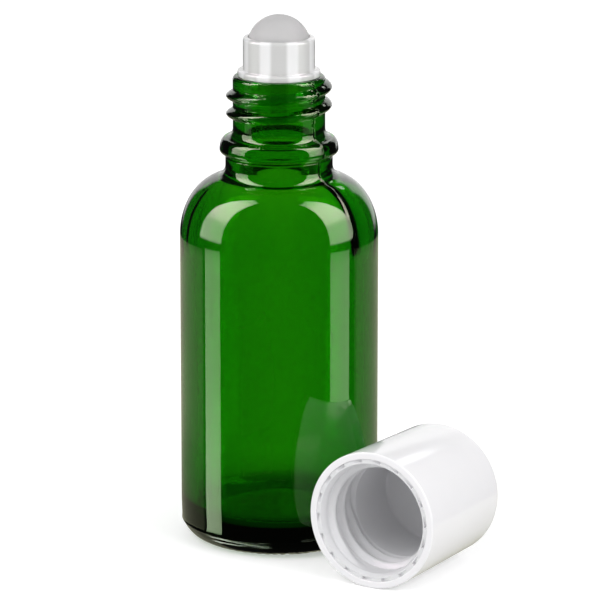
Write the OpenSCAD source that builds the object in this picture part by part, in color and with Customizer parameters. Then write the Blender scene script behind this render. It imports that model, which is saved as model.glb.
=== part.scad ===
// Roll-on bottle: a green glass bottle with a screw neck, a roller housing pressed
// into its mouth, a free ball, and a two-part screw cap that lies beside the bottle.
// Units are millimetres, +Z is up, and the origin is the centre of the foot ring.

/* [Bottle body] */
// Outside diameter of the round body
body_d = 33; // [31:0.5:36]
// Height from the foot to the rim of the mouth
bottle_h = 78.8; // [74:0.2:90]
// Thickness of the side wall
glass_wall = 2.5; // [2.1:0.1:2.8]
// Thickness of the glass above the foot ring
base_t = 4.75; // [4:0.25:5]
// Height of the hollow under the base
push_up = 0.9; // [0.5:0.1:1.4]
// Width of the ring that the bottle stands on
foot_w = 1.2; // [0.8:0.1:2]
// Width of the rounded heel, seen from above
heel_w = 4; // [3.5:0.25:4.5]
// Height of the edge between the rounded heel and the side
heel_h = 3; // [2.6:0.1:3.6]
// Radius of the rounded corner inside the base
inner_corner = 2.5; // [2:0.25:4]
// Height of the rounded shoulder
shoulder_h = 10; // [9:0.1:11.2]

/* [Bottle neck] */
// Outside diameter of the neck between the thread ridges
neck_d = 15.3; // [15:0.1:15.7]
// Diameter of the bore through the neck
bore_d = 10.6; // [10.2:0.1:11]
// Length of the narrow bore, below which the inside of the neck widens
throat_l = 10.2; // [9.8:0.1:10.4]
// Outside diameter over the thread ridges
thread_d = 17.7; // [17.3:0.1:17.9]
// Rise of the thread in one turn
thread_pitch = 3; // [2.6:0.1:3.2]
// Height of one thread ridge where it leaves the wall
thread_w = 1.9; // [1.5:0.1:2.1]
// Number of turns of the neck's thread
thread_turns = 1.9; // [1.5:0.1:2]
// Depth of the thread's upper end below the mouth
thread_drop = 1.3; // [1.3:0.1:1.7]
// Largest diameter of the bead under the thread
bead_d = 19.7; // [18.8:0.1:20.2]
// Depth of the bead's widest line below the mouth
bead_drop = 12.4; // [12.2:0.1:13]
// Diameter of the collar between the bead and the shoulder
collar_d = 17.8; // [17.2:0.1:18.4]
// Depth of the shoulder's top below the mouth
shoulder_drop = 16.9; // [16.6:0.1:17.4]
// Rounding of the outer edge of the mouth
lip_round = 0.6; // [0.3:0.1:0.8]

/* [Roller housing] */
// Diameter of the flange that rests on the mouth
flange_d = 13.7; // [13:0.1:14]
// Thickness of the flange
flange_t = 1; // [0.8:0.1:1.4]
// Outside diameter of the cup round the ball
cup_d = 11.9; // [11.8:0.1:12.4]
// Height of the cup above the flange
cup_h = 5.5; // [5.2:0.1:5.9]
// Rounding of the cup's upper edge
cup_round = 0.5; // [0.2:0.1:0.6]
// Length of the plug inside the neck
plug_l = 7; // [6:0.5:8]
// Diameter of the liquid's way through the plug
plug_bore_d = 6.4; // [6.2:0.1:7]
// Squeeze of the plug's two sealing rings in the bore, on each side
ring_squeeze = 0.05; // [0.02:0.01:0.08]

/* [Roller ball] */
// Diameter of the ball
ball_d = 10.5; // [10.2:0.1:10.6]
// Running gap between the ball and the cup
ball_gap = 0.12; // [0.08:0.01:0.16]
// Height of the ball's centre above the flange
ball_rise = 3.9; // [3.7:0.05:4.1]

/* [Cap] */
// Outside diameter at the mouth of the cap
cap_d = 22.8; // [22.4:0.1:24]
// Outside diameter at the closed end
cap_top_d = 22; // [21.8:0.1:22.4]
// Overall length of the cap
cap_l = 24; // [23.2:0.1:26]
// Wall thickness of the outer shell
shell_wall = 1.15; // [0.9:0.05:1.25]
// Thickness of the shell's closed end
crown_t = 1.5; // [1.2:0.1:2]
// Rounding of the edge at the closed end
crown_round = 1.1; // [0.6:0.1:1.4]
// Gap between the glass and the cap's liner, on each side
cap_gap = 0.25; // [0.2:0.05:0.35]
// Number of ratchet notches round the liner's rim
notch_count = 18; // [12:1:24]
// Direction in which the closed end of the lying cap points
cap_turn = 60; // [50:1:66]
// Gap between the lying cap and the bottle
lie_gap = 0.8; // [0.3:0.1:2]

/* [Hidden] */
$fn = 96;
arc_steps = 10;
ridge_steps_per_turn = 32;

// Overrun of the cuts
over = 1;

// Bottle
body_r = body_d / 2;
neck_r = neck_d / 2;
bore_r = bore_d / 2;
bead_r = bead_d / 2;
collar_r = collar_d / 2;
inner_r = body_r - glass_wall;
foot_r = body_r - heel_w;
// Heel: how far its upper edge lies inside the body, the angle that its arc turns through,
// the arc's half-axes, and the height at which the side reaches its full width
heel_inset = 0.12;
heel_turn = 55;
heel_arc_w = (heel_w - heel_inset) / sin(heel_turn);
heel_arc_h = heel_h / (1 - cos(heel_turn));
draft_top = 6.5;
// How much the middle of the floor inside stands above its edge
floor_crown = 0.6;
// Top of the straight side
side_top = bottle_h - shoulder_drop - shoulder_h;
// Where the shoulder's curve gives way to the hollow curve under the collar
shoulder_end = 82;
// Height of the hollow curve under the collar
collar_fillet = 1.4;
// Bead: hollow curve above it, and its rounded upper and lower sides
bead_fillet_w = 1.3;
bead_fillet_h = 1.6;
bead_upper_h = 2;
bead_lower_w = 0.68;
bead_lower_h = 0.55;
// Mouth of the bore
bore_round = 0.3;
// Inside of the neck below the narrow bore: how far it widens, and over what height
throat_flare_w = 1.3;
throat_flare_h = 2.5;
wide_r = bore_r + throat_flare_w;
// Inside of the shoulder: how far the neck's glass spreads, how high it curves, and how far
// the top of the curve lies below the outside
inner_flare_w = 1.15;
inner_flare_h = 3.1;
shoulder_t = 1.1;
inner_shoulder_h = shoulder_h - shoulder_t;
// How deep a thread ridge is rooted in the wall
ridge_root = 0.4;
// Direction of the upper end of the neck's thread, from +X towards +Y
thread_end_turn = 70;
// Height of a ridge's end as a share of its full height
ridge_end_share = 0.3;
// Turning angle over which a ridge rises to its full height
ridge_rise_turn = 40;

// Roller housing
flange_z = bottle_h;
flange_top = flange_z + flange_t;
cup_top = flange_top + cup_h;
plug_bottom = bottle_h - plug_l;
plug_gap = 0.03;
plug_r = bore_r - plug_gap;
plug_lead = 0.9;
plug_lead_w = 0.5;
ring_w = 1;
// Places of the two sealing rings, as shares of the plug's length
ring_shares = [0.3, 0.65];

// Ball
ball_r = ball_d / 2;
ball_z = flange_top + ball_rise;

// Cap, in its own frame: mouth at 0, closed end up
cap_r = cap_d / 2;
cap_top_r = cap_top_d / 2;
rim_round = 0.25;
// The shell's bore steps in above the liner's threaded skirt
shell_step = 0.3;
shell_ceiling = cap_l - crown_t;
// The liner's rim lies a little inside the shell's rim
rim_inset = 0.15;
// Gap between the closed cap's rim and the bead, and between the mouth and the skirt's end
bead_gap = 0.6;
// Depth of the threaded skirt
liner_thread_end = bead_drop - bead_upper_h - 2 * bead_gap;
// Wall of the skirt at that depth, between its thread's root and the shell
liner_skirt_wall = 1;
liner_root_r = shell_bore(liner_thread_end) - liner_skirt_wall;
liner_crest_r = liner_root_r - (thread_d - neck_d) / 2 + cap_gap;
liner_lead = 1;
liner_lead_w = 0.4;
liner_thread_start = liner_lead + thread_w / 2 + rim_inset;
// How far below the step to the cup the middle of the thread ridge ends
liner_thread_stop = 0.3;
liner_thread_turns = (liner_thread_end - liner_thread_start - liner_thread_stop) / thread_pitch;
// Cup over the skirt: its wall, its crown, its room in the shell and the height of its inner step
liner_wall = 1.1;
liner_crown_t = 1.1;
cup_room = 0.35;
liner_step = 0.5;
liner_cup_start = liner_thread_end + liner_step;
liner_step_top = liner_thread_end + liner_wall;
// Stand-off ring on the liner's crown, which bears on the shell's ceiling
standoff_h = 1.45;
standoff_r = 5;
standoff_wall = 1;
liner_top = shell_ceiling - standoff_h;
// Depth of the ceiling that bears on the ball when the cap is on
ceiling_depth = liner_top - liner_crown_t;
// Ratchet notches: length round the rim, width and depth
notch_l = 1.8;
notch_w = 0.55;
notch_depth = 0.5;

// Lying cap: its slope, the place of its mouth, and its roll about its own axis
cap_tilt = atan((cap_r - cap_top_r) / cap_l);
// How far the mouth lies before the bottle's centre, as a share of the cap's length
cap_reach_share = 0.8;
cap_reach = cap_reach_share * cap_l;
cap_side = (body_r + lie_gap) / cos(cap_tilt) + cap_outside(cap_reach);
cap_x = cap_side * sin(cap_turn) - cap_reach * cos(cap_turn);
cap_y = -cap_side * cos(cap_turn) - cap_reach * sin(cap_turn);
cap_z = cap_r * cos(cap_tilt);
cap_roll = 8;

// Points of an elliptical arc about c, with half-axes rx and ry, from angle a0 to a1;
// first is 1 where the arc goes on from a point that is already there
function arc(c, rx, ry, a0, a1, first = 0) = [
    for (i = [first:arc_steps])
        let (a = a0 + (a1 - a0) * i / arc_steps)
        [c[0] + rx * cos(a), c[1] + ry * sin(a)]
];

// Radii at height z of the tapering cap: its outside, the shell's bore and the liner's cup
function cap_outside(z) = cap_r - (cap_r - cap_top_r) * z / cap_l;
function shell_bore(z) = cap_outside(z) - shell_wall;
function cup_outside(z) = shell_bore(z) - shell_step - cup_room;

// Outline of the glass, from the hollow base up the outside and down the inside
function glass_outside() = concat(
    arc([0, 0], foot_r - foot_w, push_up, 90, 0),
    arc([foot_r, heel_arc_h], heel_arc_w, heel_arc_h, 270, 270 + heel_turn),
    [[body_r, draft_top]],
    arc([collar_r, side_top], body_r - collar_r, shoulder_h, 0, shoulder_end),
    collar_outline(),
    bead_outline(),
    arc([neck_r - lip_round, bottle_h - lip_round], lip_round, lip_round, 0, 90)
);

function collar_outline() =
    let (
        w = (body_r - collar_r) * cos(shoulder_end),
        z = side_top + shoulder_h * sin(shoulder_end)
    )
    arc([collar_r + w, z + collar_fillet], w, collar_fillet, 270, 180, first = 1);

function bead_outline() =
    let (
        z = bottle_h - bead_drop,
        hollow_r = neck_r + bead_fillet_w
    )
    concat(
        [[collar_r, z - bead_lower_h]],
        arc([bead_r - bead_lower_w, z], bead_lower_w, bead_lower_h, -90, 0),
        arc([hollow_r, z], bead_r - hollow_r, bead_upper_h, 0, 90),
        arc([hollow_r, z + bead_upper_h + bead_fillet_h], bead_fillet_w, bead_fillet_h, 270, 180,
            first = 1)
    );

function glass_inside() = concat(
    arc([bore_r + bore_round, bottle_h - bore_round], bore_round, bore_round, 90, 180),
    [[bore_r, bottle_h - throat_l], [wide_r, bottle_h - throat_l - throat_flare_h]],
    arc([wide_r + inner_flare_w, side_top + inner_shoulder_h + inner_flare_h],
        inner_flare_w, inner_flare_h, 180, 270),
    arc([wide_r + inner_flare_w, side_top], inner_r - wide_r - inner_flare_w, inner_shoulder_h, 90, 0,
        first = 1),
    arc([inner_r - inner_corner, base_t + inner_corner], inner_corner, inner_corner, 0, -90),
    [[0, base_t + floor_crown]]
);

// One section of a thread ridge, as [radius, height] points; k is its share of full height
function ridge_section(wall_r, crest_r, k) =
    let (
        out = sign(crest_r - wall_r),
        base = wall_r - out * ridge_root,
        rise = (crest_r - base) * k
    )
    [for (a = [-90:30:90]) [base + rise * pow(cos(a), 0.8), thread_w / 2 * sin(a)]];

// Share of full height at an angle along a ridge that is sweep degrees long
function ridge_share(angle, sweep) =
    ridge_end_share + (1 - ridge_end_share)
    * sin(90 * min(1, min(angle, sweep - angle) / ridge_rise_turn));

// A right-handed ridge that climbs from start_z at start_a through the given turns
module thread_ridge(wall_r, crest_r, start_z, start_a, turns) {
    sweep = 360 * turns;
    steps = ceil(ridge_steps_per_turn * turns);
    rings = [
        for (i = [0:steps])
            let (
                angle = sweep * i / steps,
                section = ridge_section(wall_r, crest_r, ridge_share(angle, sweep)),
                a = start_a + angle,
                z = start_z + thread_pitch * angle / 360
            )
            [for (p = section) [p[0] * cos(a), p[0] * sin(a), z + p[1]]]
    ];
    n = len(rings[0]);
    outward = crest_r > wall_r;
    sides = [
        for (i = [0:steps - 1], j = [0:n - 1])
            let (
                a = i * n + j,
                b = i * n + (j + 1) % n,
                c = (i + 1) * n + (j + 1) % n,
                d = (i + 1) * n + j
            )
            each [[a, c, b], [a, d, c]]
    ];
    ends = [[for (j = [0:n - 1]) j], [for (j = [n - 1:-1:0]) steps * n + j]];
    faces = concat(sides, ends);
    polyhedron(
        points = [for (ring = rings) each ring],
        faces = outward ? [for (f = faces) [for (k = [len(f) - 1:-1:0]) f[k]]] : faces,
        convexity = 8
    );
}

// Glass bottle with its screw neck
module bottle() {
    top_z = bottle_h - thread_drop;
    bottom_z = top_z - thread_pitch * thread_turns;
    color([0.05, 0.42, 0.05, 0.6])
    union() {
        rotate_extrude() polygon(concat(glass_outside(), glass_inside()));
        thread_ridge(neck_r, thread_d / 2, bottom_z, thread_end_turn - 360 * thread_turns, thread_turns);
    }
}

// Housing: a plug in the neck, a flange on the mouth and a cup that cages the ball
module roller_housing() {
    cup_r = cup_d / 2;
    color([0.94, 0.94, 0.94])
    difference() {
        union() {
            rotate_extrude() polygon(concat(
                [[0, plug_bottom], [plug_r - plug_lead_w, plug_bottom], [plug_r, plug_bottom + plug_lead]],
                [[plug_r, flange_z], [flange_d / 2, flange_z], [flange_d / 2, flange_top], [cup_r, flange_top]],
                arc([cup_r - cup_round, cup_top - cup_round], cup_round, cup_round, 0, 90),
                [[0, cup_top]]
            ));
            for (share = ring_shares) sealing_ring(flange_z - share * plug_l);
        }
        translate([0, 0, plug_bottom - over])
            cylinder(h = ball_z - plug_bottom + over, d = plug_bore_d);
        translate([0, 0, ball_z]) sphere(r = ball_r + ball_gap);
    }
}

// Ring on the plug that squeezes into the neck's bore
module sealing_ring(z) {
    rotate_extrude() polygon([
        [plug_r - ring_w / 2, z - ring_w / 2],
        [plug_r, z - ring_w / 2],
        [bore_r + ring_squeeze, z],
        [plug_r, z + ring_w / 2],
        [plug_r - ring_w / 2, z + ring_w / 2]
    ]);
}

// Ball, free to turn in the cup
module roller_ball() {
    color([0.78, 0.78, 0.78])
    translate([0, 0, ball_z]) sphere(r = ball_r);
}

// Puts a cap that stands on its mouth on its side, beside the bottle
module lay_cap() {
    translate([cap_x, cap_y, cap_z])
    rotate([0, 90 + cap_tilt, cap_turn])
    rotate([0, 0, cap_roll])
    children();
}

// Smooth outer shell of the cap
module cap_shell() {
    color([0.96, 0.96, 0.96])
    lay_cap()
    rotate_extrude() polygon(concat(
        [[shell_bore(0), 0], [cap_r - rim_round, 0], [cap_outside(rim_round), rim_round]],
        arc([cap_top_r - crown_round, cap_l - crown_round], crown_round, crown_round, 0, 90),
        [[0, cap_l], [0, shell_ceiling]],
        [[shell_bore(shell_ceiling) - shell_step, shell_ceiling]],
        [[shell_bore(liner_step_top) - shell_step, liner_step_top]],
        [[shell_bore(liner_step_top), liner_step_top]]
    ));
}

// Inner cap: threaded skirt with a ratchet rim, and a cup whose ceiling bears on the ball
module cap_liner() {
    color([0.9, 0.9, 0.9])
    lay_cap()
    difference() {
        union() {
            rotate_extrude() polygon([
                [shell_bore(rim_inset), rim_inset],
                [shell_bore(liner_step_top), liner_step_top],
                [cup_outside(liner_step_top), liner_step_top],
                [cup_outside(liner_top), liner_top],
                [0, liner_top],
                [0, ceiling_depth],
                [cup_outside(ceiling_depth) - liner_wall, ceiling_depth],
                [cup_outside(liner_cup_start) - liner_wall, liner_cup_start],
                [liner_root_r, liner_thread_end],
                [liner_root_r, liner_lead],
                [liner_root_r + liner_lead_w, rim_inset]
            ]);
            thread_ridge(liner_root_r, liner_crest_r, liner_thread_start, 0, liner_thread_turns);
            standoff();
        }
        for (i = [0:notch_count - 1]) rotate([0, 0, 360 * i / notch_count]) ratchet_notch();
    }
}

// Ring between the liner's crown and the shell's ceiling
module standoff() {
    translate([0, 0, liner_top - liner_crown_t / 2])
    difference() {
        cylinder(h = standoff_h + liner_crown_t / 2, r = standoff_r);
        cylinder(h = standoff_h + over, r = standoff_r - standoff_wall);
    }
}

// Saw-tooth notch in the liner's rim: steep at one end, running out at the other
module ratchet_notch() {
    translate([shell_bore(rim_inset) - notch_w, 0, rim_inset])
    rotate([90, 0, 90])
    linear_extrude(notch_w + over)
    polygon([[0, -over], [0, notch_depth], [-notch_l, 0], [-notch_l, -over]]);
}

bottle();
roller_housing();
roller_ball();
cap_shell();
cap_liner();
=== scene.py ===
# Looks of the roll-on bottle: green glass, white roller housing, frosted ball and a two-part
# white cap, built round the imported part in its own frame. The named sizes are millimetres, and
# every mesh is made in metres.
import math

import bmesh
import bpy
from mathutils import Matrix, Vector, noise


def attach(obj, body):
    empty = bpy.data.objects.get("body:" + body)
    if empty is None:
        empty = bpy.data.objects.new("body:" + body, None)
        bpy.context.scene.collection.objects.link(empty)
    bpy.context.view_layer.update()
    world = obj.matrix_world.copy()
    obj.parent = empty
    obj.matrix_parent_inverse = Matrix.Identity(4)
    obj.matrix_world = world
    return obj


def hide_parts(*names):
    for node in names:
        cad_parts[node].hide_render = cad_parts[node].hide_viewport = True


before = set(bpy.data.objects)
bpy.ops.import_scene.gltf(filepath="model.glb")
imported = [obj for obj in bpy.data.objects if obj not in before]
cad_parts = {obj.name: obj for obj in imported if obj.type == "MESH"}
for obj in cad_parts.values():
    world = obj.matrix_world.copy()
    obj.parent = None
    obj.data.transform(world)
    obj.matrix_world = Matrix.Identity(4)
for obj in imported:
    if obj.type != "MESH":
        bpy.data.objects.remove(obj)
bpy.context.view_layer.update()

MM = 0.001
# Face angle above which an edge stays sharp in the shading
SHARP_ANGLE = math.radians(42)
# Points closer than this are one point
MERGE_DISTANCE = 1e-7
# Number of wedges that a turned piece is made from
WEDGES = 8


# Sizes, in millimetres

# Bottle: body, base, heel, shoulder and neck
BODY_R = 16.5
BOTTLE_H = 78.8
GLASS_WALL = 2.5
INNER_R = BODY_R - GLASS_WALL
BASE_T = 4.75
FLOOR_CROWN = 0.6
PUSH_UP = 0.9
HEEL_W = 4.0
FOOT_R = BODY_R - HEEL_W
FOOT_W = 1.2
# Heel: a low arc up to the ring where the two moulds met, then almost straight up to the side
PART_RING_R = 16.38
PART_RING_Z = 3.0
PART_RING_OUT = 0.06
# The ring stands out at its first two rows and dies away at the third
PART_RING_ROWS = (0.05, 0.15, 0.3)
PART_RING_END = 0.02
PART_ARC_TURN = 55
PART_ARC_W = (PART_RING_R - FOOT_R) / math.sin(math.radians(PART_ARC_TURN))
PART_ARC_H = PART_RING_Z / (1 - math.cos(math.radians(PART_ARC_TURN)))
HEEL_TOP = 6.5
INNER_CORNER = 2.5
SHOULDER_H = 10.0
SHOULDER_DROP = 16.9
SIDE_TOP = BOTTLE_H - SHOULDER_DROP - SHOULDER_H
SHOULDER_END = 78
NECK_R = 7.65
BORE_R = 5.3
BORE_ROUND = 0.3
LIP_ROUND = 0.6
COLLAR_R = 8.9
BEAD_R = 9.85
BEAD_Z = BOTTLE_H - 12.4
BEAD_UPPER_W = 0.9
BEAD_UPPER_H = 2.0
BEAD_LOWER_W = 0.6
BEAD_LOWER_H = 0.55
BEAD_CORNER = 0.25
# Narrow groove between the bead and the collar
GROOVE_W = 0.22
GROOVE_H = 0.25
GROOVE_ROUND = 0.2
# Hollow curve from the bead up to the neck
BEAD_HOLLOW_W = 1.3
BEAD_HOLLOW_H = 1.6
# Inside of the neck: the narrow throat ends and the bore widens, then flares into the shoulder
THROAT_L = 10.2
THROAT_FLARE_W = 1.3
THROAT_FLARE_H = 2.5
FLARE_W = 1.15
FLARE_H = 3.1
INNER_SHOULDER_H = 8.9
# Thread of the neck. The liner's thread has the same pitch, ridge width and fade at its ends
PITCH = 3.0
RIDGE_H = 1.1
RIDGE_HALF_W = 0.92
THREAD_TURNS = 1.9
THREAD_TOP_Z = BOTTLE_H - 1.3
THREAD_END_TURN = 70
RIDGE_FADE_TURN = 45

# Roller housing and ball
FLANGE_R = 6.85
FLANGE_TOP = BOTTLE_H + 1.0
CUP_R = 5.95
CUP_TOP = FLANGE_TOP + 5.5
CUP_ROUND = 0.5
PLUG_BOTTOM = BOTTLE_H - 7
PLUG_R = 5.27
PLUG_LEAD = 0.9
PLUG_LEAD_W = 0.5
PLUG_BORE_R = 3.2
# Roundings of the plug, its rings, the flange and the cup's foot
PLUG_FOOT_ROUND = 0.2
PLUG_LEAD_ROUND = 0.3
PLUG_TOP_ROUND = 0.1
RING_ROUND = 0.15
FLANGE_LOW_ROUND = 0.12
FLANGE_ROUND = 0.25
CUP_FOOT_ROUND = 0.2
RING_HALF_W = 0.5
RING_R = 5.35
RING_DEPTHS = (2.1, 4.55)
BALL_R = 5.25
BALL_GAP = 0.12
BALL_Z = FLANGE_TOP + 3.9

# Cap, in its own frame: mouth at 0, closed end up
CAP_R = 11.4
CAP_TOP_R = 11.0
CAP_L = 24.0
SHELL_WALL = 1.15
CROWN_T = 1.5
CROWN_ROUND = 1.1
RIM_ROUND = 0.25
SHELL_STEP = 0.3
SHELL_CEILING_ROUND = 0.3
SHELL_MOUTH_ROUND = 0.1
SHELL_CEILING = CAP_L - CROWN_T
RIM_INSET = 0.15
SKIRT_END = 9.2
SKIRT_ROOT_R = 9.097
SKIRT_RIDGE_H = 0.95
SKIRT_LEAD = 1.0
SKIRT_LEAD_W = 0.4
SKIRT_THREAD_Z = 2.1
SKIRT_THREAD_TURNS = 2.267
STEP_TOP = 10.3
CUP_START = 9.7
CUP_ROOM = 0.35
LINER_WALL = 1.1
LINER_TOP = 21.05
LINER_CEILING = 19.95
STANDOFF_R = 5.0
STANDOFF_WALL = 1.0
LINER_SLIP = 0.015
NOTCH_COUNT = 18
NOTCH_TURN = 10.3
NOTCH_DEPTH = 0.5
NOTCH_W = 0.55
NOTCH_EDGE = 0.06
# Roundings of the liner, from its ceiling down to its rim
LINER_CEILING_ROUND = 0.5
LINER_STEP_ROUND = 0.12
SKIRT_END_ROUND = 0.15
SKIRT_LEAD_ROUND = 0.4

# Lying cap: the turn of its axis, its gap to the bottle and its roll about its own axis
CAP_TURN = 60
CAP_ROLL = 8
LIE_GAP = 0.8
CAP_REACH = 0.8 * CAP_L


# Outlines and shapes

def arc(centre, across, up, start, end, steps, first=0):
    """Points of an elliptical arc, from one angle to another, in degrees."""
    points = []
    for i in range(first, steps + 1):
        a = math.radians(start + (end - start) * i / steps)
        points.append((centre[0] + across * math.cos(a), centre[1] + up * math.sin(a)))
    return points


def rounded(corners, steps=5, closed=False):
    """Outline through (radius, height, rounding) corners, each corner rounded by its radius."""
    points = []
    count = len(corners)
    for i, (x, z, radius) in enumerate(corners):
        here = Vector((x, z))
        inner = closed or 0 < i < count - 1
        if radius == 0 or not inner:
            points.append((x, z))
            continue
        before = (Vector(corners[i - 1][:2]) - here).normalized()
        after = (Vector(corners[(i + 1) % count][:2]) - here).normalized()
        half = before.angle(after) / 2
        start = here + before * (radius / math.tan(half))
        centre = here + (before + after).normalized() * (radius / math.sin(half))
        spread = math.pi - 2 * half
        side = 1 if before.cross(after) < 0 else -1
        arm = start - centre
        for k in range(steps + 1):
            a = side * spread * k / steps
            turned = Vector((
                arm.x * math.cos(a) - arm.y * math.sin(a),
                arm.x * math.sin(a) + arm.y * math.cos(a),
            ))
            points.append(tuple(centre + turned))
    return points


def divided(points, spacing):
    """The same outline, with points added so that none are further apart than spacing."""
    made = [points[0]]
    for a, b in zip(points, points[1:]):
        a, b = Vector(a), Vector(b)
        parts = max(1, math.ceil((b - a).length / spacing - 1e-6))
        made += [tuple(a.lerp(b, k / parts)) for k in range(1, parts + 1)]
    return made


def spun(points, segments, closed=False):
    """Solid of revolution about the Z axis, from (radius, height) points in millimetres. A wedge
    is spun first, and copies of it then fill the turn."""
    made = bmesh.new()
    verts = [made.verts.new((r * MM, 0, z * MM)) for r, z in points]
    pairs = list(zip(verts, verts[1:]))
    if closed:
        pairs.append((verts[-1], verts[0]))
    edges = [made.edges.new(pair) for pair in pairs]
    wedge = 2 * math.pi / WEDGES
    about = {"cent": (0, 0, 0), "axis": (0, 0, 1), "dvec": (0, 0, 0)}
    bmesh.ops.spin(made, geom=verts + edges, angle=wedge, steps=segments // WEDGES, **about)
    bmesh.ops.spin(
        made, geom=made.verts[:] + made.edges[:] + made.faces[:], angle=2 * math.pi - wedge,
        steps=WEDGES - 1, use_duplicate=True, **about,
    )
    bmesh.ops.remove_doubles(made, verts=made.verts, dist=MERGE_DISTANCE)
    return made


def piece(name, mesh, material, node, body):
    """Turns a finished bmesh into a shaded piece that stands for a CAD node and rides on its body."""
    bmesh.ops.recalc_face_normals(mesh, faces=mesh.faces)
    for face in mesh.faces:
        face.smooth = True
    for edge in mesh.edges:
        if len(edge.link_faces) == 2 and edge.calc_face_angle() > SHARP_ANGLE:
            edge.smooth = False
    data = bpy.data.meshes.new(name)
    mesh.to_mesh(data)
    mesh.free()
    data.materials.append(material)
    made = bpy.data.objects.new(name, data)
    bpy.context.scene.collection.objects.link(made)
    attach(made, body)
    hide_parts(node)


def smoothstep(x):
    x = min(1, max(0, x))
    return x * x * (3 - 2 * x)


def ridge_rise(turn, z, low_turn, turns, low_z):
    """Height of a screw ridge at a direction and height, as a share of its full height."""
    best = 0
    sweep = 360 * turns
    wraps = math.floor((turn - low_turn) / 360)
    for k in range(-2, 4):
        along = turn - low_turn + 360 * (k - wraps)
        if not 0 <= along <= sweep:
            continue
        away = (z - low_z - PITCH * along / 360) / RIDGE_HALF_W
        if abs(away) >= 1:
            continue
        fade = smoothstep(min(along, sweep - along) / RIDGE_FADE_TURN)
        best = max(best, fade * (1 - away * away))
    return best


def push_out(vert, by):
    """Moves a vertex away from the Z axis, by a length in millimetres."""
    r = math.hypot(vert.co.x, vert.co.y)
    scale = (r + by * MM) / r
    vert.co.x *= scale
    vert.co.y *= scale


# Materials

def srgb(code):
    """Linear colour of an sRGB hex value."""
    parts = [int(code[i:i + 2], 16) / 255 for i in (1, 3, 5)]
    linear = [p / 12.92 if p <= 0.04045 else ((p + 0.055) / 1.055) ** 2.4 for p in parts]
    return (*linear, 1)


def node(tree, kind, inputs=None, **settings):
    """Adds a node, gives it its settings, and fills or links its inputs."""
    made = tree.nodes.new(kind)
    for name, value in settings.items():
        setattr(made, name, value)
    for name, value in (inputs or {}).items():
        if isinstance(value, bpy.types.NodeSocket):
            tree.links.new(value, made.inputs[name])
        else:
            made.inputs[name].default_value = value
    return made


def new_tree(name):
    made = bpy.data.materials.new(name)
    made.use_nodes = True
    made.node_tree.nodes.clear()
    return made, made.node_tree


def azimuth_of(tree, direction):
    """Angle of a direction about the Z axis, in degrees, from -Y towards +X."""
    parts = node(tree, "ShaderNodeSeparateXYZ", {"Vector": direction})
    back = node(tree, "ShaderNodeMath", {0: parts.outputs["Y"], 1: -1.0}, operation="MULTIPLY")
    turn = node(tree, "ShaderNodeMath", {
        0: parts.outputs["X"], 1: back.outputs[0],
    }, operation="ARCTAN2")
    return node(tree, "ShaderNodeMath", {0: turn.outputs[0]}, operation="DEGREES").outputs[0]


# Glass: width and height of the waves in its skin, in millimetres, how strongly they show, and
# the density with which it absorbs light, per metre
SKIN_WAVE_W = 7.143
SKIN_WAVE_H = 0.04
SKIN_WAVE_SHOWS = 0.25
GLASS_DENSITY = 1740.0
# Plastic: width of the clouds in its colour and depth that light reaches, in millimetres, share
# by which its roughness varies, and roughness of its polish
CLOUD_W = 6.25
GLOW_DEPTH = 1.2
ROUGHNESS_SPREAD = 0.15
POLISH_ROUGHNESS = 0.06
# Painted sheen on the housing: a wave round it is 1 midway between two pale bands and -1 at the middle of
# one. Each pale band is painted reflected light; it begins where the wave falls to this value, and is
# full where it has fallen by 1 more
PAINTED_BAND_EDGE = 0.25


def green_glass():
    """Soda-lime glass, coloured green in the melt and fire-polished: its colour comes from the
    depth of glass that the light crosses, and its skin has the slow waves of a blown wall."""
    made, tree = new_tree("soda_lime_glass_green_fire_polished")
    place = node(tree, "ShaderNodeTexCoord")
    waves = node(tree, "ShaderNodeTexNoise", {
        "Vector": place.outputs["Object"], "Scale": 1 / (SKIN_WAVE_W * MM), "Detail": 1.0,
        "Roughness": 0.4,
    })
    skin = node(tree, "ShaderNodeBump", {
        "Height": waves.outputs["Fac"], "Strength": SKIN_WAVE_SHOWS, "Distance": SKIN_WAVE_H * MM,
    })
    glass = node(tree, "ShaderNodeBsdfPrincipled", {
        "Base Color": srgb("#FFFFFF"), "Roughness": 0.0, "IOR": 1.52,
        "Transmission Weight": 1.0, "Specular Tint": srgb("#E8FFD6"),
        "Normal": skin.outputs["Normal"],
    })
    tint = node(tree, "ShaderNodeVolumeAbsorption", {
        "Color": srgb("#B4E900"), "Density": GLASS_DENSITY,
    })
    path = node(tree, "ShaderNodeLightPath")
    passed = node(tree, "ShaderNodeBsdfTransparent", {"Color": srgb("#FFFFFF")})
    mix = node(tree, "ShaderNodeMixShader", {
        0: path.outputs["Is Shadow Ray"], 1: glass.outputs["BSDF"], 2: passed.outputs["BSDF"],
    })
    node(tree, "ShaderNodeOutputMaterial", {
        "Surface": mix.outputs["Shader"], "Volume": tint.outputs["Volume"],
    })
    return made


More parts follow.
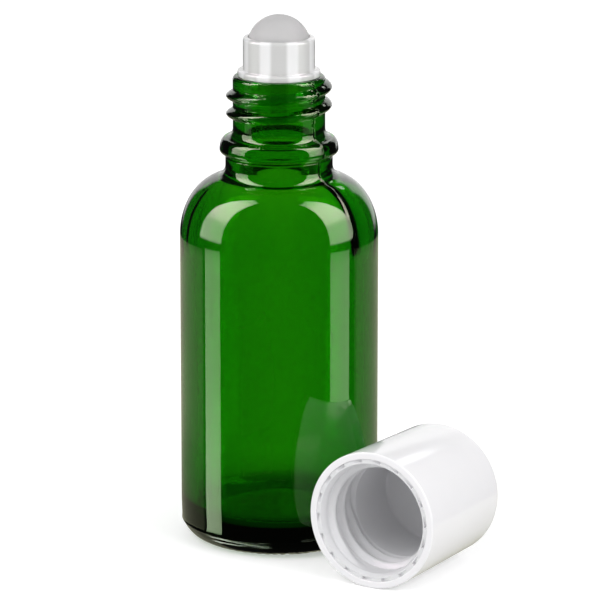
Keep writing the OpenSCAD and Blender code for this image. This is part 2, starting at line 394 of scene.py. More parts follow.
def moulded_plastic(name, pale, deep, roughness, grain, grain_depth, glow, polish=0.0, painted_bands=0):
    """Moulded plastic: two near shades in soft clouds, or in upright bands of painted sheen, pale bands
    that stand for reflected light, a faint moulded grain, and some light that spreads under the skin. The
    grain's width and depth are in millimetres, and coarser than a real mould's, so that it shows."""
    made, tree = new_tree(name)
    place = node(tree, "ShaderNodeTexCoord")
    clouds = node(tree, "ShaderNodeTexNoise", {
        "Vector": place.outputs["Object"], "Scale": 1 / (CLOUD_W * MM), "Detail": 3.0,
        "Roughness": 0.5,
    })
    depth = clouds.outputs["Fac"]
    # Painted sheen: pale upright bands round the turn that stand for reflected light, in place of the
    # clouds
    if painted_bands:
        degrees = azimuth_of(tree, place.outputs["Object"])
        wave = node(tree, "ShaderNodeMath", {0: degrees, 1: math.radians(painted_bands)}, operation="MULTIPLY")
        wave = node(tree, "ShaderNodeMath", {0: wave.outputs[0]}, operation="COSINE")
        depth = node(tree, "ShaderNodeMapRange", {
            "Value": wave.outputs[0], "From Min": PAINTED_BAND_EDGE, "From Max": -1.0 + PAINTED_BAND_EDGE,
        }, interpolation_type="SMOOTHSTEP").outputs["Result"]
    shade = node(tree, "ShaderNodeMix", {
        "Factor": depth, "A": srgb(deep), "B": srgb(pale),
    }, data_type="RGBA")
    bumps = node(tree, "ShaderNodeTexNoise", {
        "Vector": place.outputs["Object"], "Scale": 1 / (grain * MM), "Detail": 2.0,
        "Roughness": 0.6,
    })
    skin = node(tree, "ShaderNodeBump", {
        "Height": bumps.outputs["Fac"], "Strength": 1.0, "Distance": grain_depth * MM,
    })
    gloss = node(tree, "ShaderNodeMapRange", {
        "Value": bumps.outputs["Fac"], "To Min": roughness * (1 - ROUGHNESS_SPREAD),
        "To Max": roughness * (1 + ROUGHNESS_SPREAD),
    })
    body = node(tree, "ShaderNodeBsdfPrincipled", {
        "Base Color": shade.outputs["Result"], "Roughness": gloss.outputs["Result"], "IOR": 1.5,
        "Coat Weight": polish, "Coat Roughness": POLISH_ROUGHNESS,
        "Subsurface Weight": glow, "Subsurface Radius": (1.0, 0.95, 0.9),
        "Subsurface Scale": GLOW_DEPTH * MM, "Normal": skin.outputs["Normal"],
    })
    node(tree, "ShaderNodeOutputMaterial", {"Surface": body.outputs["BSDF"]})
    return made


# Making the bottle

GLASS_SEGMENTS = 192
# Longest face along the outline: foot, heel, body, neck, bore and inside
FOOT_ROW = 0.6
HEEL_ROW = 0.8
BODY_ROW = 2.0
NECK_ROW = 0.1
BORE_ROW = 1.2
INSIDE_ROW = 1.0
# Mould seam, which runs up the front and again straight opposite: direction of the front run, the
# rows of points across it, its width, height and wander, and the heights between which it rises
# out of the shoulder
SEAM_TURN = -41.5
SEAM_STEP = 0.15
SEAM_STEPS = 4
SEAM_HALF_W = 0.3
SEAM_H = 0.17
SEAM_WANDER = 0.4
SEAM_FADE_FROM = 50
SEAM_FADE_TO = 60
# Its slow and its quick bends: bends in a millimetre, share of the wander, and how far apart the
# two are read from the noise
SEAM_BENDS = ((1.1, 1.0), (2.7, 0.5))
BENDS_APART = 5
# Waves of the heel under the part ring
HEEL_WAVE = 0.006
HEEL_WAVE_W = 2.4
HEEL_WAVE_TALL = 1.0
HEEL_WAVE_FROM = 0.8
HEEL_WAVE_TO = PART_RING_Z - 0.2
# Waves of the inside: height, width and length down the wall, and how they fade at both ends
INSIDE_FROM = BASE_T + 1
INSIDE_TO = SIDE_TOP + INNER_SHOULDER_H
INNER_WAVE = 0.07
INNER_WAVE_W = 6
INNER_WAVE_TALL = 11
WAVE_FADE_LOW = 8
WAVE_FADE_HIGH = 6
# Higher waves of the inner shoulder, which begin below it
SHOULDER_WAVE = 0.22
SHOULDER_WAVE_W = 3
SHOULDER_WAVE_TALL = 9
SHOULDER_WAVE_LEAD = 4
# Upright streaks at the sides of the inner shoulder, and a fold beside the seam
STREAK_H = 0.18
STREAK_TURN = 5.5
STREAK_TALL = 16
STREAK_FROM = 49
STREAK_RISE = 5
STREAK_SIDE = 10.0
STREAK_SIDE_W = 3
FOLD_TURN = -27.0
FOLD_HALF_W = 2.8
FOLD_H = 1.05
# Stipple round the foot: bumps in a turn, their height, how far up, in and out they reach, and
# their mean height as a share and the width of its unevenness
STIPPLE_COUNT = 64
STIPPLE_H = 0.3
STIPPLE_TOP = 0.7
STIPPLE_IN = 0.3
STIPPLE_OUT = 2.2
STIPPLE_MEAN = 0.6
STIPPLE_WAVE_W = 1.25
# Surface midway through the glass, which tells its outer side from its inner side
LIP_MIDDLE_R = NECK_R - LIP_ROUND - 0.3
LIP_MIDDLE_Z = BOTTLE_H - 0.7
NECK_MIDDLE_R = NECK_R - 0.5
NECK_MIDDLE_Z = SIDE_TOP + INNER_SHOULDER_H + FLARE_H
COLLAR_MIDDLE_R = COLLAR_R - 1.6
BODY_MIDDLE_R = BODY_R - GLASS_WALL / 2
MIDDLE_SHOULDER_H = SHOULDER_H - 0.7
# Nearer to the axis than this, the glass is left as it is spun
STILL_R = BORE_R - 1
# The thread rises only from points that lie at least so far from the axis
THREAD_FROM_R = NECK_R - 0.01
# Points closer to a seam cut than this, in metres, lie on it
SEAM_CUT_DISTANCE = 1e-6


def foot_outline():
    """Outline of the hollow base, the foot and the heel, up to the ring where the moulds met."""
    points = arc((0, 0), FOOT_R - FOOT_W, PUSH_UP, 90, 0, steps=24)
    points += arc((FOOT_R, PART_ARC_H), PART_ARC_W, PART_ARC_H, 270, 270 + PART_ARC_TURN, steps=24)
    low, high, last = PART_RING_ROWS
    return divided(points, FOOT_ROW) + [
        (PART_RING_R + PART_RING_OUT, PART_RING_Z + low),
        (PART_RING_R + PART_RING_OUT, PART_RING_Z + high),
        (PART_RING_R + PART_RING_END, PART_RING_Z + last),
    ]


def side_outline(start):
    """Outline from a start on the heel, up the body and over the shoulder, whose arc ends in a
    small hollow that turns it upright at the collar."""
    end = math.radians(SHOULDER_END)
    shoulder_w = BODY_R - COLLAR_R
    hollow_w = shoulder_w * math.cos(end)
    hollow_z = SIDE_TOP + SHOULDER_H * math.sin(end)
    hollow_turn = math.atan(shoulder_w / SHOULDER_H * math.tan(end))
    hollow_r = hollow_w / (1 - math.cos(hollow_turn))
    hollow = (COLLAR_R + hollow_r, hollow_z + hollow_r * math.sin(hollow_turn))
    hollow_from = 180 + math.degrees(hollow_turn)
    points = divided([start, (BODY_R, HEEL_TOP)], HEEL_ROW)[1:]
    points += divided([(BODY_R, HEEL_TOP), (BODY_R, SIDE_TOP)], BODY_ROW)[1:]
    points += arc((COLLAR_R, SIDE_TOP), shoulder_w, SHOULDER_H, 0, SHOULDER_END, steps=40, first=1)
    points += arc(hollow, hollow_r, hollow_r, hollow_from, 180, steps=14, first=1)
    return points


def neck_outline():
    """Outline of the groove over the collar, the bead, the neck and the lip."""
    lower_r = BEAD_R - BEAD_LOWER_W
    lower_z = BEAD_Z - BEAD_LOWER_H
    groove_r = COLLAR_R - GROOVE_W
    groove_z = lower_z - BEAD_CORNER - GROOVE_H
    groove_lip = (COLLAR_R - GROOVE_ROUND, groove_z - GROOVE_ROUND)
    corner = (groove_r + BEAD_CORNER, lower_z - BEAD_CORNER)
    bead_in = BEAD_R - BEAD_UPPER_W
    neck_low = BEAD_Z + BEAD_UPPER_H + BEAD_HOLLOW_H
    lip = (NECK_R - LIP_ROUND, BOTTLE_H - LIP_ROUND)
    points = arc(groove_lip, GROOVE_ROUND, GROOVE_ROUND, 0, 90, steps=5)
    points += arc(corner, BEAD_CORNER, BEAD_CORNER, 180, 90, steps=6)
    points += arc((lower_r, BEAD_Z), BEAD_LOWER_W, BEAD_LOWER_H, -90, 0, steps=12, first=1)
    points += arc((bead_in, BEAD_Z), BEAD_UPPER_W, BEAD_UPPER_H, 0, 90, steps=20, first=1)
    points += arc((bead_in, neck_low), BEAD_HOLLOW_W, BEAD_HOLLOW_H, 270, 180, steps=16, first=1)
    points += divided([points[-1], (NECK_R, BOTTLE_H - LIP_ROUND)], NECK_ROW)[1:]
    points += arc(lip, LIP_ROUND, LIP_ROUND, 0, 90, steps=8, first=1)
    return points


def inside_outline():
    """Outline of the inside: down the narrow throat and the wider bore, over the inner shoulder
    and down the wall to the middle of the floor."""
    mouth = (BORE_R + BORE_ROUND, BOTTLE_H - BORE_ROUND)
    throat_z = BOTTLE_H - THROAT_L
    half_w, half_h = THROAT_FLARE_W / 2, THROAT_FLARE_H / 2
    flare_mid = BORE_R + half_w
    wide_r = BORE_R + THROAT_FLARE_W
    flare_z = SIDE_TOP + INNER_SHOULDER_H + FLARE_H
    flare_r = wide_r + FLARE_W
    corner = (INNER_R - INNER_CORNER, BASE_T + INNER_CORNER)
    points = arc(mouth, BORE_ROUND, BORE_ROUND, 90, 180, steps=5)
    points += divided([points[-1], (BORE_R, throat_z)], BORE_ROW)[1:]
    points += arc((flare_mid, throat_z), half_w, half_h, 180, 270, steps=8, first=1)
    points += arc((flare_mid, throat_z - THROAT_FLARE_H), half_w, half_h, 90, 0, steps=8, first=1)
    points += divided([points[-1], (wide_r, flare_z)], BORE_ROW)[1:]
    points += arc((flare_r, flare_z), FLARE_W, FLARE_H, 180, 270, steps=16, first=1)
    points += arc((flare_r, SIDE_TOP), INNER_R - flare_r, INNER_SHOULDER_H, 90, 0, steps=32, first=1)
    points += divided([points[-1], (INNER_R, BASE_T + INNER_CORNER)], INSIDE_ROW)[1:]
    points += arc(corner, INNER_CORNER, INNER_CORNER, 0, -90, steps=18, first=1)
    points += arc((0, BASE_T), INNER_R - INNER_CORNER, FLOOR_CROWN, 0, 90, steps=16, first=1)
    return points


def glass_outline():
    """Outline of the glass, from the middle of the hollow base up the outside, over the mouth
    and down the inside to the middle of the floor."""
    foot = foot_outline()
    return foot + side_outline(foot[-1]) + neck_outline() + inside_outline()


def middle_radius(z):
    """Radius of the surface midway through the glass at a height; in the base, of the foot."""
    if z > LIP_MIDDLE_Z:
        return LIP_MIDDLE_R
    if z > NECK_MIDDLE_Z:
        return NECK_MIDDLE_R
    if z > SIDE_TOP:
        lean = math.sqrt(max(0, 1 - min(1, (z - SIDE_TOP) / MIDDLE_SHOULDER_H) ** 2))
        return COLLAR_MIDDLE_R + (BODY_MIDDLE_R - COLLAR_MIDDLE_R) * lean
    if z > BASE_T:
        return BODY_MIDDLE_R
    return FOOT_R


def waviness(x, y, z, wide, tall):
    """Smooth noise whose waves are so wide and so tall."""
    return noise.noise(Vector((x / wide, y / wide, z / tall)))


def seam_rise(x, y, z, across):
    """Height of the mould seam at a point of the outside, on either side of the axis."""
    wander = 0
    for i, (bends, share) in enumerate(SEAM_BENDS):
        wander += SEAM_WANDER * share * noise.noise(Vector((BENDS_APART * i, 0, z * bends)))
    away = abs(Vector((x, y, 0)).dot(across) - wander)
    if away >= SEAM_HALF_W:
        return 0
    fade = smoothstep((z - SEAM_FADE_FROM) / (SEAM_FADE_TO - SEAM_FADE_FROM))
    return SEAM_H * fade * (1 - away / SEAM_HALF_W)


def inside_wave(x, y, z, r, turn):
    """How far a point of the inside lies out of the spun shape."""
    wave = waviness(x, y, z, INNER_WAVE_W, INNER_WAVE_TALL)
    lead = smoothstep((z - SIDE_TOP + SHOULDER_WAVE_LEAD) / SHOULDER_WAVE_LEAD)
    shoulder = waviness(x, y, z, SHOULDER_WAVE_W, SHOULDER_WAVE_TALL)
    wave += SHOULDER_WAVE / INNER_WAVE * lead * shoulder
    fade = smoothstep((z - INSIDE_FROM) / WAVE_FADE_LOW) * smoothstep((INSIDE_TO - z) / WAVE_FADE_HIGH)
    top = smoothstep((z - STREAK_FROM) / STREAK_RISE)
    at_side = smoothstep((abs(x) - STREAK_SIDE) / STREAK_SIDE_W)
    streak = STREAK_H * at_side * noise.noise(Vector((turn / STREAK_TURN, z / STREAK_TALL, 0)))
    beside = math.radians(turn - FOLD_TURN) * r / FOLD_HALF_W
    fold = FOLD_H * max(0, 1 - beside * beside) ** 2
    return INNER_WAVE * wave * fade + top * (streak - fold)


def stipple_rise(x, y, turn):
    """Height of the stipple at a point of the foot."""
    bump = 0.5 + 0.5 * math.cos(math.radians(turn * STIPPLE_COUNT))
    uneven = 1 + waviness(x, y, 0, STIPPLE_WAVE_W, 1)
    return max(0, STIPPLE_H * STIPPLE_MEAN * bump * uneven)


def build_bottle():
    """The spun glass, cut along the mould seam and then pushed out of its spun shape: waves, seam
    and thread outside, waves, streaks and fold inside, and stipple on the foot."""
    made = spun(glass_outline(), GLASS_SEGMENTS)
    across = Vector((-math.sin(math.radians(SEAM_TURN)), math.cos(math.radians(SEAM_TURN)), 0))
    for k in range(-SEAM_STEPS, SEAM_STEPS + 1):
        geometry = made.verts[:] + made.edges[:] + made.faces[:]
        bmesh.ops.bisect_plane(
            made, geom=geometry, dist=SEAM_CUT_DISTANCE, plane_co=across * k * SEAM_STEP * MM,
            plane_no=across,
        )
    low_turn = THREAD_END_TURN - 360 * THREAD_TURNS
    low_z = THREAD_TOP_Z - PITCH * THREAD_TURNS
    for vert in made.verts:
        x, y, z = vert.co / MM
        r = math.hypot(x, y)
        if r < STILL_R:
            continue
        turn = math.degrees(math.atan2(y, x))
        outside = r > middle_radius(z)
        if outside and HEEL_WAVE_FROM < z < HEEL_WAVE_TO:
            push_out(vert, HEEL_WAVE * waviness(x, y, z, HEEL_WAVE_W, HEEL_WAVE_TALL))
        elif outside and z > BASE_T:
            push = seam_rise(x, y, z, across)
            if r > THREAD_FROM_R and z > BEAD_Z + BEAD_UPPER_H:
                push += RIDGE_H * ridge_rise(turn, z, low_turn, THREAD_TURNS, low_z)
            push_out(vert, push)
        elif not outside and INSIDE_FROM < z < INSIDE_TO:
            push_out(vert, inside_wave(x, y, z, r, turn))
        elif z < STIPPLE_TOP and FOOT_R - FOOT_W - STIPPLE_IN < r < FOOT_R + STIPPLE_OUT:
            vert.co.z += stipple_rise(x, y, turn) * MM
    return made


# Making the roller housing and the ball

PLASTIC_SEGMENTS = 192
BALL_STEPS = 64


def build_housing():
    """Plug with its two sealing rings, flange and cup, round the cavity that cages the ball."""
    cavity_r = BALL_R + BALL_GAP
    lip = math.degrees(math.asin((CUP_TOP - BALL_Z) / cavity_r))
    floor = -math.degrees(math.acos(PLUG_BORE_R / cavity_r))
    corners = [
        (PLUG_BORE_R, PLUG_BOTTOM, 0),
        (PLUG_R - PLUG_LEAD_W, PLUG_BOTTOM, PLUG_FOOT_ROUND),
        (PLUG_R, PLUG_BOTTOM + PLUG_LEAD, PLUG_LEAD_ROUND),
    ]
    for depth in reversed(RING_DEPTHS):
        z = BOTTLE_H - depth
        corners += [
            (PLUG_R, z - RING_HALF_W, 0),
            (RING_R, z, RING_ROUND),
            (PLUG_R, z + RING_HALF_W, 0),
        ]
    corners += [
        (PLUG_R, BOTTLE_H, PLUG_TOP_ROUND),
        (FLANGE_R, BOTTLE_H, FLANGE_LOW_ROUND),
        (FLANGE_R, FLANGE_TOP, FLANGE_ROUND),
        (CUP_R, FLANGE_TOP, CUP_FOOT_ROUND),
        (CUP_R, CUP_TOP, CUP_ROUND),
        (cavity_r * math.cos(math.radians(lip)), CUP_TOP, 0),
    ]
    points = rounded(corners)
    points += arc((0, BALL_Z), cavity_r, cavity_r, lip, floor, steps=24, first=1)
    return spun(points, PLASTIC_SEGMENTS, closed=True)


def build_ball():
    return spun(arc((0, BALL_Z), BALL_R, BALL_R, -90, 90, BALL_STEPS), PLASTIC_SEGMENTS)


# Making the cap

CAP_SEGMENTS = 256
LINER_SEGMENTS = 360
# Longest face along the liner's inside, in its thread and elsewhere, and where the thread's lie
THREAD_ROW = 0.12
LINER_ROW = 1.5
THREAD_ROWS_FROM = SKIRT_LEAD - 0.6
THREAD_ROWS_TO = SKIRT_END + 0.1
# How near a point lies to the skirt or the rim that it belongs to, and where the ridge may rise
ON_SKIRT = 0.25
ON_RIM = 0.01
SKIRT_THREAD_FROM = 0.8
SKIRT_THREAD_TO = SKIRT_END - 0.02


# Radii at a height above the cap's mouth: its outside, its bore and the outside of the liner's cup
def cap_outside(z):
    return CAP_R - (CAP_R - CAP_TOP_R) * z / CAP_L


def shell_bore(z):
    return cap_outside(z) - SHELL_WALL


def cup_outside(z):
    return shell_bore(z) - SHELL_STEP - CUP_ROOM


def lying_cap():
    """The matrix that lays a cap standing on its mouth on its side, beside the bottle."""
    tilt = math.atan((CAP_R - CAP_TOP_R) / CAP_L)
    turn = math.radians(CAP_TURN)
    side = (BODY_R + LIE_GAP) / math.cos(tilt) + cap_outside(CAP_REACH)
    mouth = Vector((
        side * math.sin(turn) - CAP_REACH * math.cos(turn),
        -side * math.cos(turn) - CAP_REACH * math.sin(turn),
        CAP_R * math.cos(tilt),
    ))
    return (
        Matrix.Translation(mouth * MM)
        @ Matrix.Rotation(turn, 4, "Z")
        @ Matrix.Rotation(math.pi / 2 + tilt, 4, "Y")
        @ Matrix.Rotation(math.radians(CAP_ROLL), 4, "Z")
    )


def build_shell():
    """Smooth outer shell, whose bore narrows by a step over the liner's skirt."""
    points = rounded([
        (0, SHELL_CEILING, 0),
        (shell_bore(SHELL_CEILING) - SHELL_STEP, SHELL_CEILING, SHELL_CEILING_ROUND),
        (shell_bore(STEP_TOP) - SHELL_STEP, STEP_TOP, 0),
        (shell_bore(STEP_TOP), STEP_TOP, 0),
        (shell_bore(0), 0, SHELL_MOUTH_ROUND),
        (CAP_R, 0, RIM_ROUND),
        (CAP_TOP_R, CAP_L, CROWN_ROUND),
        (0, CAP_L, 0),
    ], steps=10)
    made = spun(points, CAP_SEGMENTS)
    bmesh.ops.transform(made, matrix=lying_cap(), verts=made.verts)
    return made


def build_liner():
    """Inner cap: a cup, a threaded skirt, a rim with one-way notches, and a ring that stands it
    off the shell's ceiling."""
    rim_r = shell_bore(RIM_INSET) - LINER_SLIP
    points = rounded([
        (0, LINER_CEILING, 0),
        (cup_outside(LINER_CEILING) - LINER_WALL, LINER_CEILING, LINER_CEILING_ROUND),
        (cup_outside(CUP_START) - LINER_WALL, CUP_START, LINER_STEP_ROUND),
        (SKIRT_ROOT_R, SKIRT_END, SKIRT_END_ROUND),
        (SKIRT_ROOT_R, SKIRT_LEAD, SKIRT_LEAD_ROUND),
        (SKIRT_ROOT_R + SKIRT_LEAD_W, RIM_INSET, 0),
    ])
    wall = []
    for a, b in zip(points, points[1:]):
        in_thread = THREAD_ROWS_FROM < min(a[1], b[1]) < THREAD_ROWS_TO
        wall += divided([a, b], THREAD_ROW if in_thread else LINER_ROW)[:-1]
    wall.append(points[-1])
    track_r = shell_bore(RIM_INSET) - NOTCH_W
    face = [(r, RIM_INSET) for r in (track_r - NOTCH_EDGE, track_r, track_r + NOTCH_EDGE)]
    outer = [
        (rim_r, RIM_INSET),
        (shell_bore(STEP_TOP) - LINER_SLIP, STEP_TOP),
        (cup_outside(STEP_TOP), STEP_TOP),
        (cup_outside(LINER_TOP), LINER_TOP),
        (STANDOFF_R, LINER_TOP),
        (STANDOFF_R, SHELL_CEILING),
        (STANDOFF_R - STANDOFF_WALL, SHELL_CEILING),
        (STANDOFF_R - STANDOFF_WALL, LINER_TOP),
        (0, LINER_TOP),
    ]
    made = spun(wall + face + outer, LINER_SEGMENTS)
    for vert in made.verts:
        x, y, z = vert.co / MM
        r = math.hypot(x, y)
        turn = math.degrees(math.atan2(y, x))
        if abs(r - SKIRT_ROOT_R) < ON_SKIRT and SKIRT_THREAD_FROM < z < SKIRT_THREAD_TO:
            rise = ridge_rise(turn, z, 0, SKIRT_THREAD_TURNS, SKIRT_THREAD_Z)
            push_out(vert, -SKIRT_RIDGE_H * rise)
        elif abs(z - RIM_INSET) < ON_RIM and r > SKIRT_ROOT_R + SKIRT_LEAD_W:
            along = -turn % (360 / NOTCH_COUNT)
            if along < NOTCH_TURN:
                depth = NOTCH_DEPTH * (1 - along / NOTCH_TURN)
                across = min(1, max(0, (r - track_r) / NOTCH_EDGE))
                vert.co.z += depth * across * MM
    bmesh.ops.transform(made, matrix=lying_cap(), verts=made.verts)
    return made


# Pieces

piece("glass_bottle", build_bottle(), green_glass(), "bottle", "bottle")

# Polyethylene from a polished mould: semi-gloss white, with eight pale upright bands of painted sheen
# round the cup and flange that stand for reflected light
housing_plastic = moulded_plastic(
    "polyethylene_white_moulded", pale="#EFEFEF", deep="#CDCDCC",
    roughness=0.3, grain=0.9, grain_depth=0.0015, glow=0.25, polish=1.0, painted_bands=8,
)
piece("ball_housing", build_housing(), housing_plastic, "roller_housing", "bottle")

# Polypropylene without pigment, ground to a ball: pale grey, with a frosted skin that takes light in
ball_plastic = moulded_plastic(
    "polypropylene_natural_frosted", pale="#C6C6C6", deep="#A9A9A9",
    roughness=0.65, grain=0.25, grain_depth=0.004, glow=0.4,
)
piece("rolling_ball", build_ball(), ball_plastic, "roller_ball", "roller_ball")

# Polypropylene from a polished mould: an even white with a sharp gloss
shell_plastic = moulded_plastic(
    "polypropylene_white_glossy", pale="#F6F5F7", deep="#F2F1F3",
    roughness=0.12, grain=1.5, grain_depth=0.002, glow=0.1,
)
piece("outer_cap", build_shell(), shell_plastic, "cap_shell", "cap")

# Polypropylene from a blasted mould: a slightly greyer white with a satin skin
liner_plastic = moulded_plastic(
    "polypropylene_white_satin", pale="#E4E4E6", deep="#DEDEE0",
    roughness=0.38, grain=0.4, grain_depth=0.003, glow=0.1,
)
piece("inner_cap", build_liner(), liner_plastic, "cap_liner", "cap")


# Floor, light and camera

# Floor: its width in metres, and the light that lifts it to white for the camera
FLOOR_SIZE = 40.0
FLOOR_GLOW = 0.4
# Shade under the bottle that the glass shows: where it begins and ends, and its brightness
SHADE_FROM = 18
SHADE_TO = 55
SHADE_LEVEL = 0.22


def table_surface():
    """Matt white table, lifted to white for the camera. Gloss looks past it at the lights, and the
    glass shows only the shade under the bottle."""
    made, tree = new_tree("matt_white_table")
    path = node(tree, "ShaderNodeLightPath")
    matt = node(tree, "ShaderNodeBsdfDiffuse", {"Color": srgb("#E6E6E6")})
    glow = node(tree, "ShaderNodeEmission", {"Strength": FLOOR_GLOW})
    lit = node(tree, "ShaderNodeAddShader", {0: matt.outputs["BSDF"], 1: glow.outputs["Emission"]})
    seen = node(tree, "ShaderNodeMixShader", {
        0: path.outputs["Is Camera Ray"], 1: matt.outputs["BSDF"], 2: lit.outputs["Shader"],
    })
    clear = node(tree, "ShaderNodeBsdfTransparent")
    mirrored = node(tree, "ShaderNodeMixShader", {
        0: path.outputs["Is Glossy Ray"], 1: seen.outputs["Shader"], 2: clear.outputs["BSDF"],
    })
    place = node(tree, "ShaderNodeTexCoord")
    away = node(tree, "ShaderNodeVectorMath", {0: place.outputs["Object"]}, operation="LENGTH")
    open_floor = node(tree, "ShaderNodeMapRange", {
        "Value": away.outputs["Value"], "From Min": SHADE_FROM * MM, "From Max": SHADE_TO * MM,
    }, interpolation_type="SMOOTHSTEP")
    shade = node(tree, "ShaderNodeEmission", {"Strength": SHADE_LEVEL})
    under = node(tree, "ShaderNodeMixShader", {
        0: open_floor.outputs["Result"], 1: shade.outputs["Emission"], 2: clear.outputs["BSDF"],
    })
    through = node(tree, "ShaderNodeMixShader", {
        0: path.outputs["Is Transmission Ray"], 1: mirrored.outputs["Shader"], 2: under.outputs["Shader"],
    })
    node(tree, "ShaderNodeOutputMaterial", {"Surface": through.outputs["Shader"]})
    made.cycles.emission_sampling = "NONE"
    return made


def build_floor():
    made = bmesh.new()
    bmesh.ops.create_grid(made, x_segments=1, y_segments=1, size=FLOOR_SIZE / 2)
    data = bpy.data.meshes.new("studio_floor")
    made.to_mesh(data)
    made.free()
    data.materials.append(table_surface())
    floor = bpy.data.objects.new("studio_floor", data)
    bpy.context.scene.collection.objects.link(floor)


def window(tree, value, low, high, soft):
    """1 where a value lies between two limits, with soft edges."""
    rise = node(tree, "ShaderNodeMapRange", {
        "Value": value, "From Min": low - soft / 2, "From Max": low + soft / 2,
    }, interpolation_type="SMOOTHSTEP")
    fall = node(tree, "ShaderNodeMapRange", {
        "Value": value, "From Min": high - soft / 2, "From Max": high + soft / 2,
        "To Min": 1.0, "To Max": 0.0,
    }, interpolation_type="SMOOTHSTEP")
    both = node(tree, "ShaderNodeMath", {
        0: rise.outputs["Result"], 1: fall.outputs["Result"],
    }, operation="MULTIPLY")
    return both.outputs[0]


# Lights that the gloss shows: lean of the level edges, azimuth from the viewer towards the right,
# elevation, softness of the upright and of the level edges, all in degrees, brightness and colour
SOFT_BOXES = (
    # upright boxes at both sides of the bottle, brighter towards the floor
    (0, (-96, -72.5), (-44, -13), 1.5, 3.0, 3.4, "#E7FFDC"),
    (0, (62, 89.5), (-44, -13), 1.5, 3.0, 3.3, "#E7FFDC"),
    (0, (-96, -72.5), (-44, -15.8), 1.5, 2.5, 1.5, "#FFFFFF"),
    # tall boxes above them, brighter towards the top
    (0, (-104, -70), (-3, 72), 3.0, 4.0, 4.8, "#FFFFF7"),
    (0, (61, 97), (-3, 70), 3.0, 4.0, 4.8, "#FFFFF7"),
    (0, (-104, -69), (24, 64), 3.0, 16.0, 5.8, "#FFCCF3"),
    (0, (61, 97), (24, 60), 3.0, 16.0, 5.8, "#FFCCF3"),
    # low strips that lean along the heel, which shows them as fine lines
    (0.29, (-126, -44), (-78.8, -77.0), 6.0, 0.6, 14.0, "#FFFFFF"),
    (0.5, (-124, -50), (-107.4, -105.6), 8.0, 0.6, 16.0, "#FFFFFF"),
    (0.65, (-134, -80), (-137, -135), 8.0, 0.8, 12.0, "#FFFFFF"),
    # box behind and above, seen in the cap's side
    (0, (150, 159.5), (29.8, 33.8), 1.0, 1.0, 2.4, "#FFFFFF"),
    # grey room behind the bottle, and the pale backdrop far behind it
    (0, (-200, -100), (-16.0, -13.4), 6.0, 1.0, 0.56, "#F4F4D4"),
    (0, (-200, -100), (-52, -16.0), 6.0, 1.0, 0.34, "#F4F4D4"),
    (0, (100, 200), (-52, -13.4), 6.0, 1.0, 0.5, "#F4F4D4"),
    (0, (-200, -156), (-8, 20), 8.0, 6.0, 0.9, "#FFFFFF"),
    (0, (146, 200), (-8, 24), 8.0, 6.0, 1.1, "#FFFFFF"),
)
# Brightness of the dark room, of the backdrop behind the glass, and of the soft fill light
ROOM = 0.02
BACKDROP = 0.86
FILL = 0.85


def box_light(tree, direction):
    """Colour of the dark room and its soft boxes in a direction."""
    azimuth = azimuth_of(tree, direction)
    parts = node(tree, "ShaderNodeSeparateXYZ", {"Vector": direction})
    lift = node(tree, "ShaderNodeMath", {0: parts.outputs["Z"]}, operation="ARCSINE")
    elevation = node(tree, "ShaderNodeMath", {0: lift.outputs[0]}, operation="DEGREES").outputs[0]
    light = (ROOM, ROOM, ROOM)
    for lean, (left, right), (low, high), side_soft, level_soft, strength, colour in SOFT_BOXES:
        level = elevation
        if lean:
            level = node(tree, "ShaderNodeMath", {
                0: azimuth, 1: lean, 2: elevation,
            }, operation="MULTIPLY_ADD").outputs[0]
        across = window(tree, azimuth, left, right, side_soft)
        up = window(tree, level, low, high, level_soft)
        both = node(tree, "ShaderNodeMath", {0: across, 1: up}, operation="MULTIPLY").outputs[0]
        light = node(tree, "ShaderNodeVectorMath", {
            0: both, 1: [strength * part for part in srgb(colour)[:3]], 2: light,
        }, operation="MULTIPLY_ADD").outputs[0]
    return light


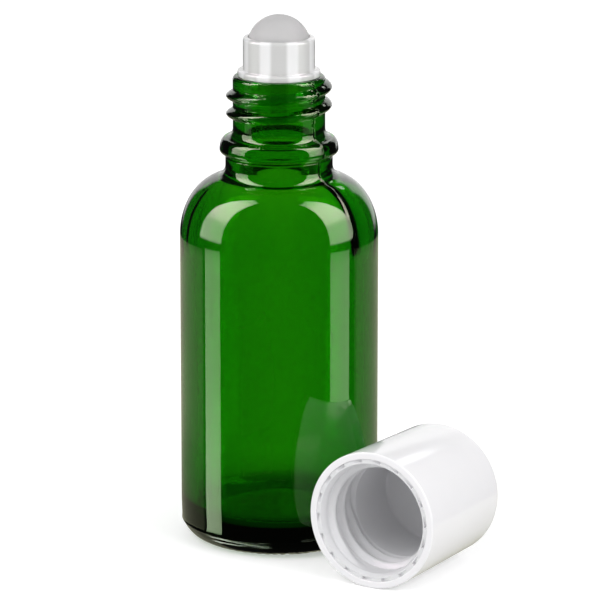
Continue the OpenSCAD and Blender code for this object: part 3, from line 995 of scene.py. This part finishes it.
def build_studio():
    """World: white for the camera, the soft boxes for gloss, the same against a bright backdrop
    for the glass, and an even fill for everything else."""
    world = bpy.data.worlds.new("soft_studio")
    bpy.context.scene.world = world
    world.use_nodes = True
    tree = world.node_tree
    tree.nodes.clear()
    place = node(tree, "ShaderNodeTexCoord")
    light = box_light(tree, place.outputs["Generated"])
    bright = node(tree, "ShaderNodeVectorMath", {
        0: light, 1: (BACKDROP, BACKDROP, BACKDROP),
    }, operation="MAXIMUM").outputs[0]
    path = node(tree, "ShaderNodeLightPath")
    fill = node(tree, "ShaderNodeBackground", {"Strength": FILL})
    gloss = node(tree, "ShaderNodeBackground", {"Color": light})
    beyond = node(tree, "ShaderNodeBackground", {"Color": bright})
    white = node(tree, "ShaderNodeBackground", {"Strength": 1.0})
    mirrored = node(tree, "ShaderNodeMixShader", {
        0: path.outputs["Is Glossy Ray"], 1: fill.outputs["Background"], 2: gloss.outputs["Background"],
    })
    through = node(tree, "ShaderNodeMixShader", {
        0: path.outputs["Is Transmission Ray"], 1: mirrored.outputs["Shader"],
        2: beyond.outputs["Background"],
    })
    seen = node(tree, "ShaderNodeMixShader", {
        0: path.outputs["Is Camera Ray"], 1: through.outputs["Shader"], 2: white.outputs["Background"],
    })
    node(tree, "ShaderNodeOutputWorld", {"Surface": seen.outputs["Shader"]})
    world.cycles.sampling_method = "NONE"


# Lamps: name, place in metres, size in metres, power in watts
LAMPS = (
    ("key_softbox", (-0.7, -0.55, 0.9), 0.7, 5.6),
    ("right_softbox", (0.75, -0.7, 0.6), 0.6, 4.6),
)
# Place that the lamps point to, in metres
LAMP_AIM = Vector((0.01, -0.01, 0.04))


def build_lamps():
    for name, place, size, power in LAMPS:
        data = bpy.data.lights.new(name, "AREA")
        data.shape = "SQUARE"
        data.size = size
        data.energy = power
        lamp = bpy.data.objects.new(name, data)
        lamp.location = place
        lamp.rotation_euler = (LAMP_AIM - Vector(place)).to_track_quat("-Z", "Y").to_euler()
        lamp.visible_camera = False
        lamp.visible_glossy = False
        lamp.visible_transmission = False
        bpy.context.scene.collection.objects.link(lamp)


# Camera: place in metres, downward pitch in degrees, and focal length in millimetres
CAMERA_PLACE = (0.00347, -0.7755, 0.2396)
CAMERA_PITCH = 14.4
CAMERA_LENS = 287.7
SENSOR_W = 36.0
CAMERA_CLIP = (0.01, 100.0)


def build_camera():
    data = bpy.data.cameras.new("camera")
    data.lens = CAMERA_LENS
    data.sensor_width = SENSOR_W
    data.clip_start, data.clip_end = CAMERA_CLIP
    camera = bpy.data.objects.new("camera", data)
    camera.location = CAMERA_PLACE
    camera.rotation_euler = (math.radians(90 - CAMERA_PITCH), 0, 0)
    bpy.context.scene.collection.objects.link(camera)
    bpy.context.scene.camera = camera


build_floor()
build_studio()
build_lamps()
build_camera()
bpy.context.scene.view_settings.view_transform = "Standard"
